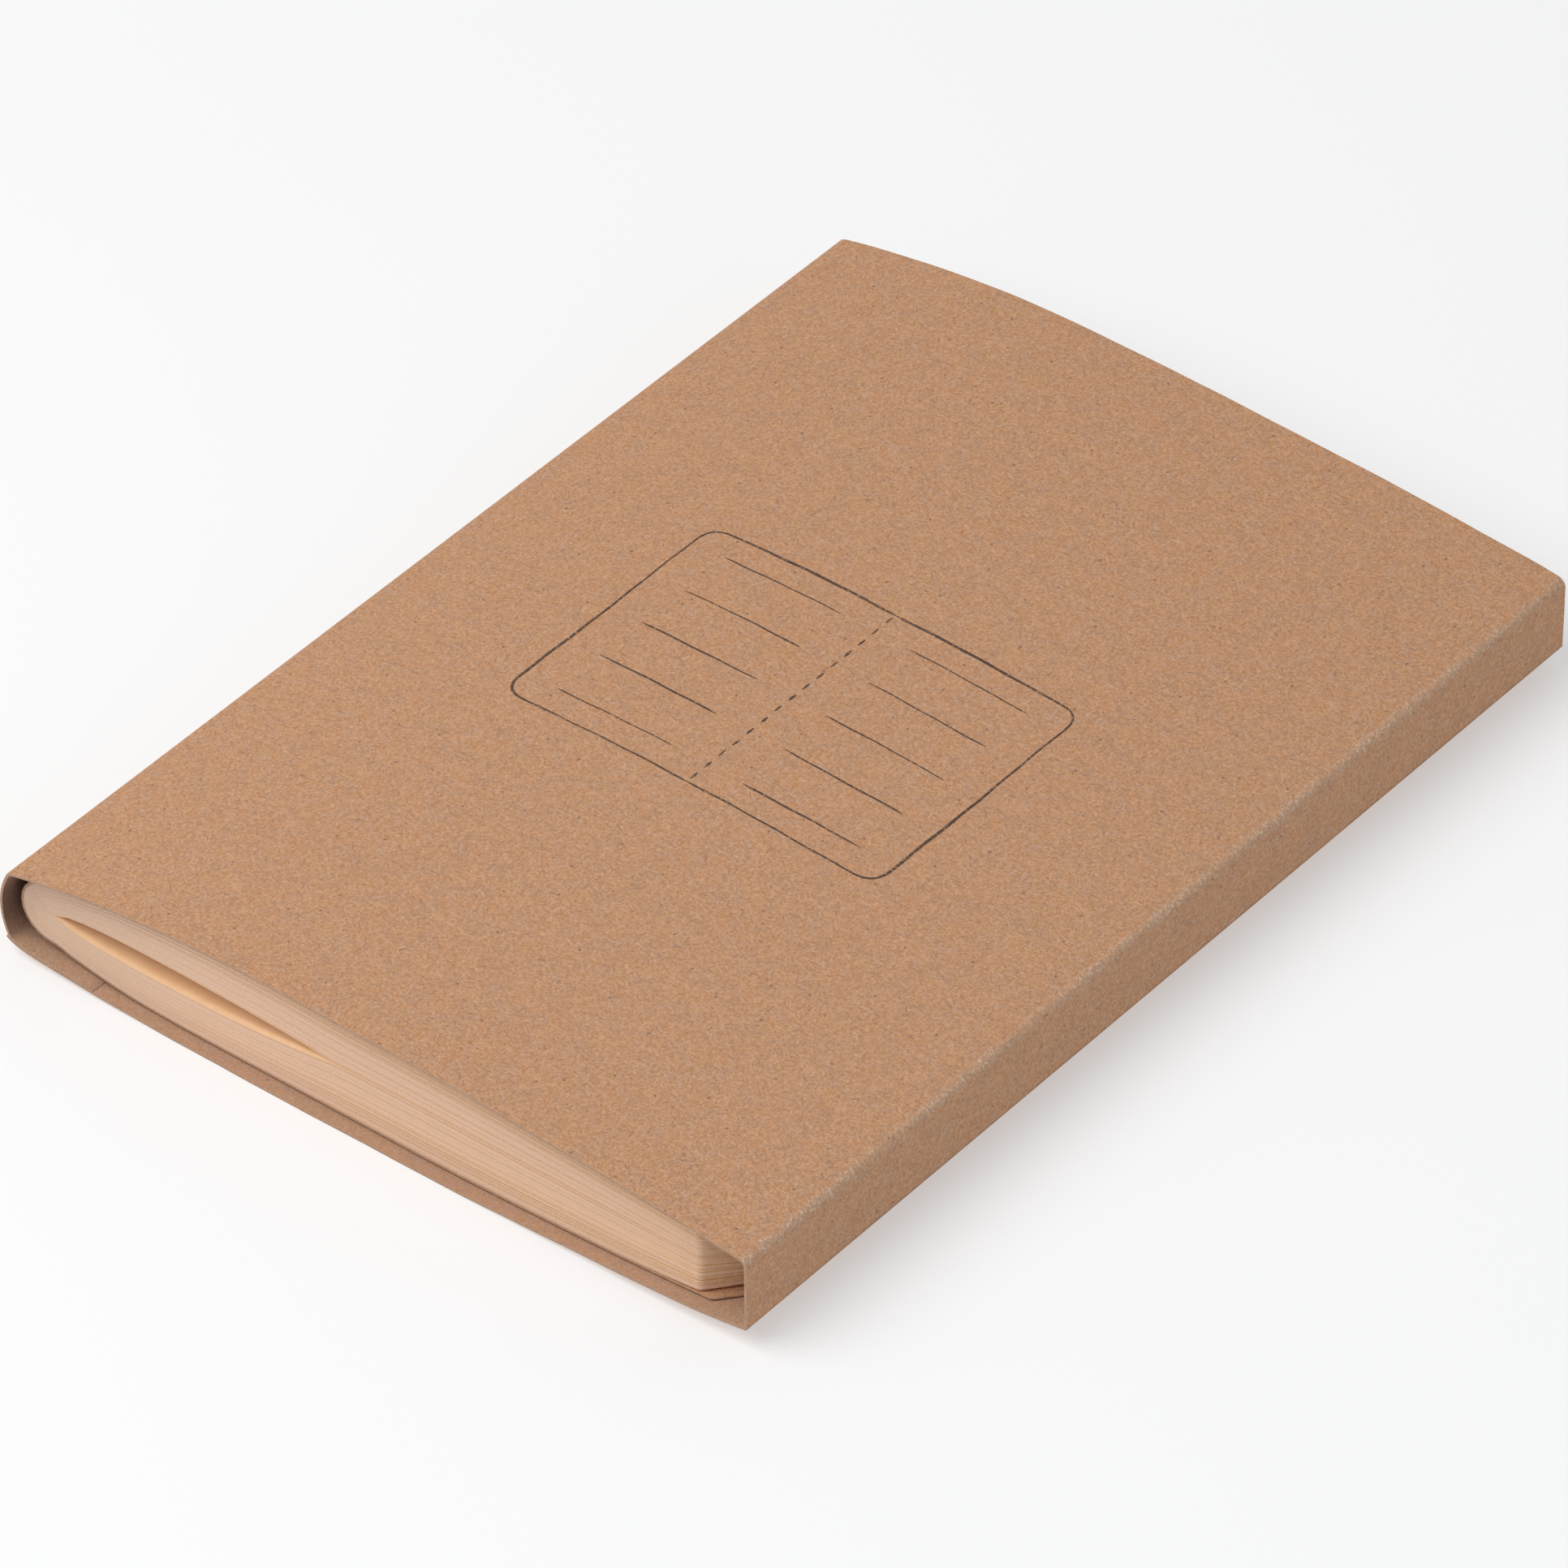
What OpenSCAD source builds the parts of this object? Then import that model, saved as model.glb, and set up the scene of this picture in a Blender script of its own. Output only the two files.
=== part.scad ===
// Pocket notebook in a card sleeve.
// A thread-sewn booklet of folded sheets in a kraft cover, which slides in a folded kraft card
// sleeve that is open at its tail and head.
// X runs from the spine to the fore-edge, Y from the tail to the head, Z up from the rest face.
// The profiles are worked out with X counted from the outside of the sleeve's spine wall, and
// Y from the sleeve's tail edge. place() moves them into the part's own frame.

/* [Sleeve] */
// Width of the sleeve over its spine wall and its fore-edge panel
sleeve_width = 108; // [106.5:0.5:112]
// Length of the sleeve from tail to head
sleeve_length = 150.5; // [150:0.5:158]
// Thickness of the sleeve's card
card = 0.35; // [0.25:0.05:0.4]
// Height of the sharp fold at the foot of the fore-edge panel above the rest face
low_fold_height = 2.8; // [2.4:0.1:3.2]
// Height of the worn fold at the top of the fore-edge panel above the rest face
high_fold_height = 12.9; // [12.6:0.1:13.6]
// Bend radius of that worn fold
worn_fold_radius = 1.2; // [0.8:0.1:1.6]
// Greatest height of the bowed top panel
crown_height = 16.1; // [15.8:0.1:17]
// Place of that crown, counted from the spine wall
crown_place = 42; // [38:1:46]
// Where the flat stretch of the bottom panel starts, counted from the spine wall
flat_start = 28; // [24:1:32]
// Where that flat stretch ends
flat_end = 62; // [56:1:66]
// Bend radius of the spine wall
wall_radius = 10; // [9.8:0.1:10.4]
// Where the glue flap inside the bottom panel ends, counted from the spine wall
flap_end = 13.5; // [10:0.5:13.5]

/* [Booklet] */
// Length of the booklet from tail to head
booklet_length = 148; // [144:0.5:149]
// How far the booklet's tail sits inside the sleeve's tail edge
tail_recess = 1.8; // [0.6:0.1:1.9]
// Outside of the cover at the spine, counted from the outside of the spine wall
cover_start = 1.6; // [1.3:0.1:1.7]
// Trimmed fore-edge of the booklet, counted from the outside of the spine wall
fore_edge = 105.2; // [102:0.1:105.4]
// Thickness of the kraft cover
cover = 0.3; // [0.2:0.05:0.3]
// Radius of the rounded corners at the fore-edge
corner_radius = 7; // [3:0.5:9]
// Number of folded sheets, two leaves each
sheet_count = 40; // [8:1:40]
// Thickness of one leaf
leaf = 0.09; // [0.06:0.005:0.09]
// Half the greatest height of the gap at the centre fold
gap_half_height = 1.5; // [0.8:0.1:1.5]
// Where that gap closes, counted from the spine wall
gap_end = 48; // [40:1:56]

/* [Sewing] */
// Number of needle holes along the fold
hole_count = 14; // [4:2:14]
// Distance between neighbouring holes
hole_pitch = 10; // [5:0.5:10]
// Width of a needle hole across the flats
hole_width = 0.6; // [0.5:0.05:0.8]
// Thickness of the sewing thread
thread = 0.42; // [0.3:0.02:0.44]
// How far inside the centre fold the inner stitches lie, where the leaves leave room for them
stitch_depth = 1; // [0.9:0.05:1.4]

/* [Hidden] */
// Radius of the block at its fold, and of the centre fold's own tip
block_radius = 3.97;
tip_radius = 0.02;
// Air between the sleeve and the booklet, under it and over it
slack_under = 0.15;
slack_over = 0.2;
// Air between the outermost sheet and the cover
cover_air = 0.02;
// Where the booklet's fold lies: the centre of its nested bends
fold_x = cover_start + cover + cover_air + block_radius;
fold_z = 7.2;
// Reach over which the leaves fan out from the fold to the block's full height
fan_reach = 14;
// How far the block stays inside its full height at the fold, under and over it
fan_under = 1.46;
fan_over = 0.95;
// Rise of the middle of the block from the fold to the fore-edge
middle_rise = 0.5;
// How much the bottom panel rises to its free edge: a slow rise, then a curl
spine_rise = 1.35;
spine_curl = 0.9;
// Share of the fore-edge's rise that is slow, before the panel turns up to its fold
slow_share = 0.75;
// How far the free edge of the bottom panel lies from the outside of the spine wall
free_edge = 0.6;
// Height where the spine wall turns under into the glue flap, and the wall's middle height
seam_height = 2.75;
wall_middle = 6.9;
// Where the top panel turns down into the spine wall
turn_x = 2;
// Fall of the top panel from its crown to that turn
turn_fall = 3.95;
// Numbers of steps along the profiles
panel_steps = 24;
side_steps = 10;
round_steps = 6;
leaf_steps = 14;
corner_steps = 4;
bend_steps = 6;

function two_digits(k) = k < 10 ? str("0", k) : str(k);
function sheet_name(k) = str("sheet_", two_digits(k));

// ---- curves shared by the sleeve and the booklet ----

function smooth(t) = t <= 0 ? 0 : t >= 1 ? 1 : t * t * (3 - 2 * t);

// Outer face of the bottom panel: flat in the middle, rising to both sides
function bottom_z(x) =
    x < flat_start ? spine_side_z((flat_start - x) / (flat_start - free_edge))
    : x > flat_end ? fore_side_z((x - flat_end) / (sleeve_width - flat_end))
    : 0;
function spine_side_z(s) = spine_rise * pow(s, 1.6) + spine_curl * pow(s, 20);
function fore_side_z(t) =
    low_fold_height * (slow_share * pow(t, 1.4) + (1 - slow_share) * pow(t, 8));

// Outer face of the top panel: it falls from the crown to both sides
function top_z(x) =
    x < crown_place
    ? crown_height - turn_fall * pow((crown_place - x) / (crown_place - turn_x), 2.25)
    : crown_height - (crown_height - high_fold_height)
        * pow((x - crown_place) / (sleeve_width - crown_place), 1.85);

// What the fan of leaves still lacks of its full height near the fold
function fan_lack(x) = pow(max(0, 1 - (x - fold_x) / fan_reach), 1.6);

// Outermost faces of the block of leaves, under and over
function block_floor(x) =
    bottom_z(x) + card + slack_under + cover + cover_air + fan_under * fan_lack(x);
function block_ceiling(x) =
    top_z(x) - card - slack_over - cover - cover_air - fan_over * fan_lack(x);

// Faces of the gap at the centre fold
function middle_z(x) = fold_z + middle_rise * smooth((x - 30) / 30);
function gap_shape(u) = u >= 1 ? 0 : (1 - pow(u, 4)) * (1 - pow(1 - u, 10));
function gap_half(x) = tip_radius + gap_half_height * gap_shape((x - fold_x) / (gap_end - fold_x));

// Height of a surface nested at depth t, from 0 at the centre gap to 1 outside the block
function under_z(t, x) =
    let (inner = middle_z(x) - gap_half(x)) inner + (block_floor(x) - inner) * t;
function over_z(t, x) =
    let (inner = middle_z(x) + gap_half(x)) inner + (block_ceiling(x) - inner) * t;
function bend_radius(t) = tip_radius + (block_radius - tip_radius) * t;

// Places along a leaf, closer together near the fold
function leaf_x(i) = fold_x + (fore_edge - fold_x) * pow(i / leaf_steps, 1.5);

// Path of a folded surface at depth t: in along the upper leaf, round the fold, out below
function folded_path(t) =
    let (r = bend_radius(t))
    concat(
        [for (i = [leaf_steps:-1:1]) [leaf_x(i), over_z(t, leaf_x(i))]],
        [for (i = [0:bend_steps])
            let (a = 90 + 180 * i / bend_steps) [fold_x + r * cos(a), fold_z + r * sin(a)]],
        [for (i = [1:leaf_steps]) [leaf_x(i), under_z(t, leaf_x(i))]]
    );

// ---- offsets of an open path ----

function unit(v) = v / norm(v);
function heading(p, i) = unit(p[min(i + 1, len(p) - 1)] - p[max(i - 1, 0)]);
function to_left(v) = [-v[1], v[0]];
function shifted(p, d) = [for (i = [0:len(p) - 1]) p[i] + d * to_left(heading(p, i))];
function reversed(p) = [for (i = [len(p) - 1:-1:0]) p[i]];

// Closed outline of a strip whose two faces lie at distances a and b to the left of its path
function strip(p, a, b) = concat(shifted(p, a), reversed(shifted(p, b)));

// ---- solids ----

module place() {
    translate([-sleeve_width / 2, -sleeve_length / 2, 0]) children();
}

// Extrudes an outline drawn in X and Z along Y, from start over a length
module along_y(start, length) {
    translate([0, start + length, 0]) rotate([90, 0, 0]) linear_extrude(length) children();
}

// Outer contour of the sleeve, from the free edge of its bottom panel round to the seam
function wall_x(z) = wall_radius - sqrt(pow(wall_radius, 2) - pow(z - wall_middle, 2));
function sleeve_outer() =
    concat(
        [for (i = [0:side_steps]) let (
            s = 1 - pow(i / side_steps, 2),
            x = flat_start - s * (flat_start - free_edge)) [x, bottom_z(x)]],
        [for (i = [0:side_steps]) let (
            t = 1 - pow(1 - i / side_steps, 1.6),
            x = flat_end + t * (sleeve_width - flat_end)) [x, bottom_z(x)]],
        [for (i = [0:round_steps]) let (
            a = 80 * i / round_steps,
            c = [sleeve_width - worn_fold_radius, top_z(sleeve_width) - worn_fold_radius])
            c + worn_fold_radius * [cos(a), sin(a)]],
        [for (i = [1:panel_steps]) let (
            x = sleeve_width - worn_fold_radius
                + (turn_x - sleeve_width + worn_fold_radius) * i / panel_steps) [x, top_z(x)]],
        [for (i = [0:side_steps]) let (
            z = top_z(turn_x) - 0.3 + (seam_height - top_z(turn_x) + 0.3) * i / side_steps)
            [wall_x(z), z]],
        [[wall_x(seam_height) + card / 2, seam_height - card / 2]]
    );

// Inner contour of the sleeve, with the step at the end of the glue flap
function sleeve_inner() =
    let (flap_start = wall_x(seam_height) + 1.7 * card)
    concat(
        [for (i = [0:side_steps]) let (
            x = flap_start + (flap_end - flap_start) * pow(i / side_steps, 1.6))
            [x, bottom_z(x) + 2 * card]],
        [for (i = [0:side_steps]) let (
            x = flap_end + (flat_start - flap_end) * i / side_steps)
            [x, bottom_z(x) + card]],
        [for (i = [0:side_steps - 1]) let (
            t = 1 - pow(1 - i / side_steps, 1.6),
            x = flat_end + t * (sleeve_width - flat_end)) [x, bottom_z(x) + card]],
        [[sleeve_width - card, low_fold_height + card]],
        [for (i = [0:round_steps]) let (
            a = 80 * i / round_steps,
            c = [sleeve_width - worn_fold_radius, top_z(sleeve_width) - worn_fold_radius])
            c + (worn_fold_radius - card) * [cos(a), sin(a)]],
        [for (i = [1:panel_steps]) let (
            x = sleeve_width - worn_fold_radius
                + (turn_x + card - sleeve_width + worn_fold_radius) * i / panel_steps)
            [x, top_z(x) - card]],
        [for (i = [1:side_steps]) let (
            z = top_z(turn_x) - 0.3 + (seam_height - top_z(turn_x) + 0.3) * i / side_steps)
            [wall_x(z) + card, z]]
    );

// Card sleeve: one sheet folded into a loop and glued along the spine side
module sleeve() {
    color([0.74, 0.57, 0.43])
        place() along_y(0, sleeve_length)
            difference() {
                polygon(sleeve_outer());
                polygon(sleeve_inner());
            }
}

// Outline of the booklet seen from above, with its fore-edge corners rounded
function corner_arc(cx, cy, first) =
    [for (i = [0:corner_steps]) let (a = first + 90 * i / corner_steps)
        [cx + corner_radius * cos(a), cy + corner_radius * sin(a)]];
function booklet_plan() =
    let (
        low = tail_recess,
        high = tail_recess + booklet_length,
        cx = fore_edge - corner_radius
    )
    concat(
        [[0, low]],
        corner_arc(cx, low + corner_radius, -90),
        corner_arc(cx, high - corner_radius, 0),
        [[0, high]]
    );

// Places of the needle holes along Y
function hole_y(i) = sleeve_length / 2 + (i - (hole_count - 1) / 2) * hole_pitch;

module needle_holes() {
    for (i = [0:hole_count - 1])
        translate([0, hole_y(i) - hole_width / 2, fold_z - hole_width / 2])
            cube([fold_x + stitch_depth, hole_width, hole_width]);
}

// A folded strip, trimmed to the booklet's outline and pierced for the thread
module folded_strip(path, inner_face, outer_face) {
    place() difference() {
        intersection() {
            along_y(tail_recess, booklet_length) polygon(strip(path, inner_face, outer_face));
            linear_extrude(crown_height) polygon(booklet_plan());
        }
        needle_holes();
    }
}

// Folded sheet number k, counted outwards from the centre fold
module sheet(k) {
    color([0.93, 0.81, 0.66])
        folded_strip(folded_path((k - 0.5) / sheet_count), -leaf / 2, leaf / 2);
}

// Kraft cover wrapped round the outermost sheet
module booklet_cover() {
    color([0.67, 0.49, 0.36])
        folded_strip(folded_path(1), -cover - cover_air, -cover_air);
}

// Running stitch through every sheet and the cover
module sewing_thread() {
    outside_x = fold_x - block_radius - cover_air - cover - thread / 2;
    inside_x = fold_x + stitch_depth;
    color([0.9, 0.86, 0.76])
        place() translate([0, 0, fold_z]) {
            for (i = [0:hole_count - 1])
                translate([outside_x, hole_y(i), 0]) rotate([0, 90, 0])
                    cylinder(h = inside_x - outside_x, d = thread, $fn = 8);
            for (i = [0:hole_count - 2])
                translate([i % 2 == 0 ? outside_x : inside_x, hole_y(i) - thread / 2, 0])
                    rotate([-90, 0, 0])
                        cylinder(h = hole_pitch + thread, d = 0.98 * thread, $fn = 8);
        }
}

sleeve();
booklet_cover();
sewing_thread();
for (k = [1:sheet_count])
    sheet(k);
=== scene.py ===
"""Pocket notebook in a kraft card sleeve, modelled round the frame of its CAD model.

The sleeve is one card folded into a loop. The booklet inside is a kraft cover and folded sheets,
sewn through the fold with one thread. Lengths are in metres. The profiles count X from the
outside of the sleeve's spine wall and Y from the sleeve's tail edge.
"""

import functools
import math
import random

import bmesh
import bpy
from mathutils import Matrix, Vector


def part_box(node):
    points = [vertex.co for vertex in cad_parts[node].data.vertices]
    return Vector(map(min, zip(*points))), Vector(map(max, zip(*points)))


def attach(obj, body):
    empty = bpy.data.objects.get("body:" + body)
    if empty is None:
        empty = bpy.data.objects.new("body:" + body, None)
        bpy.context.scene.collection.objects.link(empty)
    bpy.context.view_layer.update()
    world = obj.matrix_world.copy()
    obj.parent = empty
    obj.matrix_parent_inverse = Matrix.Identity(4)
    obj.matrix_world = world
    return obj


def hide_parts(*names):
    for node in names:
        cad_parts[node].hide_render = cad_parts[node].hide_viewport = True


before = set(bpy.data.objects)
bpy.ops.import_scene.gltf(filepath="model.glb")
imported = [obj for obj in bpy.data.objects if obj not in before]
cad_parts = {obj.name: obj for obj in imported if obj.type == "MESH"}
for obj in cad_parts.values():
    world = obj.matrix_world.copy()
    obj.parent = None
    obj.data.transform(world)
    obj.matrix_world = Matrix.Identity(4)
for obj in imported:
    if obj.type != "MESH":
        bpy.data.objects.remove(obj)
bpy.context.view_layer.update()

bl_info = {
    "name": "Pocket Notebook",
    "version": (1, 0, 0),
    "blender": (4, 5, 0),
    "location": "View3D > Sidebar > Notebook",
    "description": "Models a sewn pocket notebook in its folded kraft card sleeve",
    "category": "Add Mesh",
}

MM = 0.001

# ---- places taken from the frame ----

SLEEVE_LOW, SLEEVE_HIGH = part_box("sleeve")
COVER_LOW, COVER_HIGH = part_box("booklet_cover")
SHEET_NODES = sorted(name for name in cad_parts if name.startswith("sheet_"))
SHEET_COUNT = len(SHEET_NODES)
SLEEVE_WIDTH = 2 * SLEEVE_HIGH.x
SLEEVE_LENGTH = SLEEVE_HIGH.y - SLEEVE_LOW.y
SPINE_X = -SLEEVE_HIGH.x
TAIL_Y = SLEEVE_LOW.y
CROWN_Z = SLEEVE_HIGH.z
COVER_START = COVER_LOW.x - SPINE_X
FORE_EDGE = COVER_HIGH.x - SPINE_X
BOOKLET_TAIL = COVER_LOW.y - TAIL_Y
BOOKLET_LENGTH = COVER_HIGH.y - COVER_LOW.y

# ---- profile of the sleeve ----

LOW_FOLD_Z = 2.8 * MM
HIGH_FOLD_Z = 12.9 * MM
WORN_FOLD_RADIUS = 1.2 * MM
SHARP_FOLD_RADIUS = 0.42 * MM
CROWN_X = 42 * MM
FLAT_START = 28 * MM
FLAT_END = 62 * MM
FREE_EDGE = 0.6 * MM
SPINE_RISE = 1.35 * MM
SPINE_CURL = 0.9 * MM
SLOW_SHARE = 0.75
WALL_RADIUS = 10 * MM
WALL_MIDDLE = 6.9 * MM
SEAM_Z = 2.75 * MM
TURN_X = 2 * MM
TURN_FALL = 3.95 * MM
FLAP_END = 13.5 * MM
FLAP_END_SHARE = 0.2
GLUE_FILM = 0.01 * MM

# ---- profile of the booklet ----

SLACK_UNDER = 0.15 * MM
SLACK_OVER = 0.2 * MM
COVER_AIR = 0.02 * MM
BLOCK_RADIUS = 3.97 * MM
TIP_RADIUS = 0.02 * MM
COVER_CARD = 0.3 * MM
SLEEVE_CARD = 0.35 * MM
FOLD_X = COVER_START + COVER_CARD + COVER_AIR + BLOCK_RADIUS
FOLD_Z = 7.2 * MM
FAN_REACH = 14 * MM
FAN_UNDER = 1.46 * MM
FAN_OVER = 0.95 * MM
MIDDLE_RISE = 0.5 * MM
GAP_HALF_HEIGHT = 1.5 * MM
GAP_END = 48 * MM
FOLD_BLEND = 2.5 * MM
LEAF_LIFT = 0.45 * MM
LIFT_START = 90 * MM

# ---- sewing ----

HOLE_COUNT = 14
HOLE_PITCH = 10 * MM
HOLE_WIDTH = 0.6 * MM
STITCH_DEPTH = 1 * MM
STITCH_BEND = 0.5 * MM
STITCH_STEP = 0.12 * MM
LOOSE_END = 5 * MM
PLY_TWIST = 1.2 * MM
THREAD_WIDTH = 0.42 * MM


def lerp(a, b, share):
    """Value that lies a share of the way from a to b."""
    return a + (b - a) * share


def smooth(t):
    """Smooth step from 0 to 1."""
    t = min(max(t, 0.0), 1.0)
    return t * t * (3 - 2 * t)


def bottom_z(x):
    """Outer face of the bottom panel: flat in the middle, rising to both sides."""
    if x < FLAT_START:
        s = (FLAT_START - x) / (FLAT_START - FREE_EDGE)
        return SPINE_RISE * s ** 1.6 + SPINE_CURL * s ** 20
    if x > FLAT_END:
        t = (x - FLAT_END) / (SLEEVE_WIDTH - FLAT_END)
        return LOW_FOLD_Z * (SLOW_SHARE * t ** 1.4 + (1 - SLOW_SHARE) * t ** 8)
    return 0.0


def top_z(x):
    """Outer face of the bowed top panel, which falls from its crown to both sides."""
    if x < CROWN_X:
        return CROWN_Z - TURN_FALL * ((CROWN_X - x) / (CROWN_X - TURN_X)) ** 2.25
    fall = (x - CROWN_X) / (SLEEVE_WIDTH - CROWN_X)
    return CROWN_Z - (CROWN_Z - HIGH_FOLD_Z) * fall ** 1.85


def wall_x(z):
    """Outer face of the rounded spine wall."""
    return WALL_RADIUS - math.sqrt(WALL_RADIUS ** 2 - (z - WALL_MIDDLE) ** 2)


def fan_lack(x):
    """What the fan of leaves still lacks of its full height near the fold."""
    return max(0.0, 1 - (x - FOLD_X) / FAN_REACH) ** 1.6


def block_floor(x):
    """Underside of the block of leaves."""
    return (
        bottom_z(x) + SLEEVE_CARD + SLACK_UNDER + COVER_CARD + COVER_AIR
        + FAN_UNDER * fan_lack(x)
    )


def block_ceiling(x):
    """Top of the block of leaves."""
    return (
        top_z(x) - SLEEVE_CARD - SLACK_OVER - COVER_CARD - COVER_AIR
        - FAN_OVER * fan_lack(x)
    )


def middle_z(x):
    """Middle of the block, where the gap at the centre fold lies."""
    return FOLD_Z + MIDDLE_RISE * smooth((x - 30 * MM) / (30 * MM))


def gap_half(x):
    """Half the height of the gap at the centre fold."""
    u = (x - FOLD_X) / (GAP_END - FOLD_X)
    if u >= 1:
        return TIP_RADIUS
    return TIP_RADIUS + GAP_HALF_HEIGHT * (1 - u ** 4) * (1 - (1 - u) ** 10)


# ---- helpers for meshes ----


def lengths_along(points):
    """Distance along a path from its first point to each of its points."""
    lengths = [0.0]
    for a, b in zip(points, points[1:]):
        lengths.append(lengths[-1] + math.dist(a, b))
    return lengths


def arc(centre, radius, first, last, steps):
    """Points on an arc, with its angles in degrees."""
    angles = [math.radians(lerp(first, last, i / steps)) for i in range(steps + 1)]
    return [(centre[0] + radius * math.cos(a), centre[1] + radius * math.sin(a)) for a in angles]


def add_object(name, data):
    """Puts an object with this data into the scene."""
    added = bpy.data.objects.new(name, data)
    bpy.context.scene.collection.objects.link(added)
    return added


def finish_mesh(name, bm, materials):
    """Turns a bmesh into a smooth-shaded object at the origin."""
    mesh = bpy.data.meshes.new(name)
    bm.to_mesh(mesh)
    bm.free()
    mesh.shade_smooth()
    for material in materials:
        mesh.materials.append(material)
    return add_object(name, mesh)


def place_piece(piece, body, slot, *nodes):
    """Lets a piece ride on its body and stand for CAD nodes, which it hides. The slot is not used."""
    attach(piece, body)
    if nodes:
        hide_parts(*nodes)


def give_thickness(piece, thickness, offset, inside=0):
    """Gives a sheet its thickness, scaled by the share that each of its points holds.

    Its cut edges take the second material, and its inner face the one numbered inside.
    """
    piece.vertex_groups.new(name="thickness_share")
    solid = piece.modifiers.new("Thickness", "SOLIDIFY")
    solid.thickness = thickness
    solid.offset = offset
    solid.vertex_group = "thickness_share"
    solid.use_even_offset = True
    solid.material_offset = inside
    solid.material_offset_rim = 1


def soften_edges(piece, width):
    """Rounds the sharp edges that a thickness leaves."""
    bevel = piece.modifiers.new("Soft edges", "BEVEL")
    bevel.width = width
    bevel.segments = 2
    bevel.limit_method = "ANGLE"
    bevel.angle_limit = math.radians(50)
    bevel.harden_normals = False


# ---- fibres of the kraft card ----

# Each layer: shift, cells a metre, length, width, bend, share of the cells that hold a fibre.
DARK_FIBRES = (
    (0.10, 480, 1.7 * MM, 0.10 * MM, 900, 0.34),
    (0.31, 850, 1.0 * MM, 0.085 * MM, 1500, 0.40),
)
PALE_FIBRES = (
    (0.47, 430, 1.9 * MM, 0.10 * MM, 800, 0.34),
    (0.59, 900, 0.9 * MM, 0.09 * MM, 1500, 0.30),
)
# Each layer: waves a metre, and the turn in degrees.
DARK_FELT = ((1700, 20), (2100, 75), (1900, 130))
PALE_FELT = ((1800, -15), (2000, 50), (1700, 105))
FELT_WIDTH = 0.07
FIBRE_WANDER = 0.4 * MM


# ---- helpers for materials ----


def node(tree, kind, inputs=None, **settings):
    """Adds a node, sets its properties, and fills its sockets with values or links."""
    made = tree.nodes.new(kind)
    for name, value in settings.items():
        setattr(made, name, value)
    for socket, value in (inputs or {}).items():
        if isinstance(value, bpy.types.NodeSocket):
            tree.links.new(value, made.inputs[socket])
        else:
            made.inputs[socket].default_value = value
    return made


def calculate(tree, operation, *values):
    """Output of a Math node."""
    return node(tree, "ShaderNodeMath", dict(enumerate(values)), operation=operation).outputs[0]


def vector_math(tree, operation, *values):
    """Output of a Vector Math node."""
    made = node(tree, "ShaderNodeVectorMath", dict(enumerate(values)), operation=operation)
    return made.outputs[0]


def times(tree, a, b):
    """Product of two values."""
    return calculate(tree, "MULTIPLY", a, b)


def ramp(tree, value, start, end, low=0.0, high=1.0):
    """Maps a value from one range to another, smoothly and with clamped ends."""
    return node(tree, "ShaderNodeMapRange", {
        "Value": value, "From Min": start, "From Max": end, "To Min": low, "To Max": high,
    }, interpolation_type="SMOOTHSTEP").outputs["Result"]


def noise(tree, place, scale, detail=2.0, roughness=0.5):
    """Grey noise, about 0 to 1, with a scale in waves a metre."""
    return node(tree, "ShaderNodeTexNoise", {
        "Vector": place, "Scale": scale, "Detail": detail, "Roughness": roughness,
    }, noise_dimensions="3D").outputs["Fac"]


def rgba(colour):
    """A colour property as the four numbers that a colour socket takes."""
    return (colour[0], colour[1], colour[2], 1.0)


def tinted(tree, colour, share, tint, blend="MIX"):
    """Colour, from a socket or as four numbers, moved a share of the way to a colour property."""
    made = node(tree, "ShaderNodeMix", {0: share, 6: colour, 7: rgba(tint)},
                data_type="RGBA", blend_type=blend)
    return made.outputs[2]


def new_material(name, roughness, specular=0.2):
    """A material with one Principled shader. Returns the material, its tree and the shader."""
    material = bpy.data.materials.new(name)
    material.use_nodes = True
    tree = material.node_tree
    shader = tree.nodes["Principled BSDF"]
    shader.inputs["Roughness"].default_value = roughness
    shader.inputs["Specular IOR Level"].default_value = specular
    return material, tree, shader


def set_surface(tree, shader, colour, height, distance, strength):
    """Gives the shader its colour, and lets a height move its normal."""
    tree.links.new(colour, shader.inputs["Base Color"])
    bump = node(tree, "ShaderNodeBump", {
        "Height": height, "Distance": distance, "Strength": strength,
    })
    tree.links.new(bump.outputs["Normal"], shader.inputs["Normal"])


def flat_place(tree):
    """Place on the unfolded sheet, in metres."""
    return node(tree, "ShaderNodeUVMap", uv_map="flat_sheet").outputs["UV"]


def solid_place(tree):
    """Place on the object, in metres."""
    return node(tree, "ShaderNodeTexCoord").outputs["Object"]


def along_x(tree, place):
    """X of a place."""
    return node(tree, "ShaderNodeSeparateXYZ", {"Vector": place}).outputs["X"]


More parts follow.
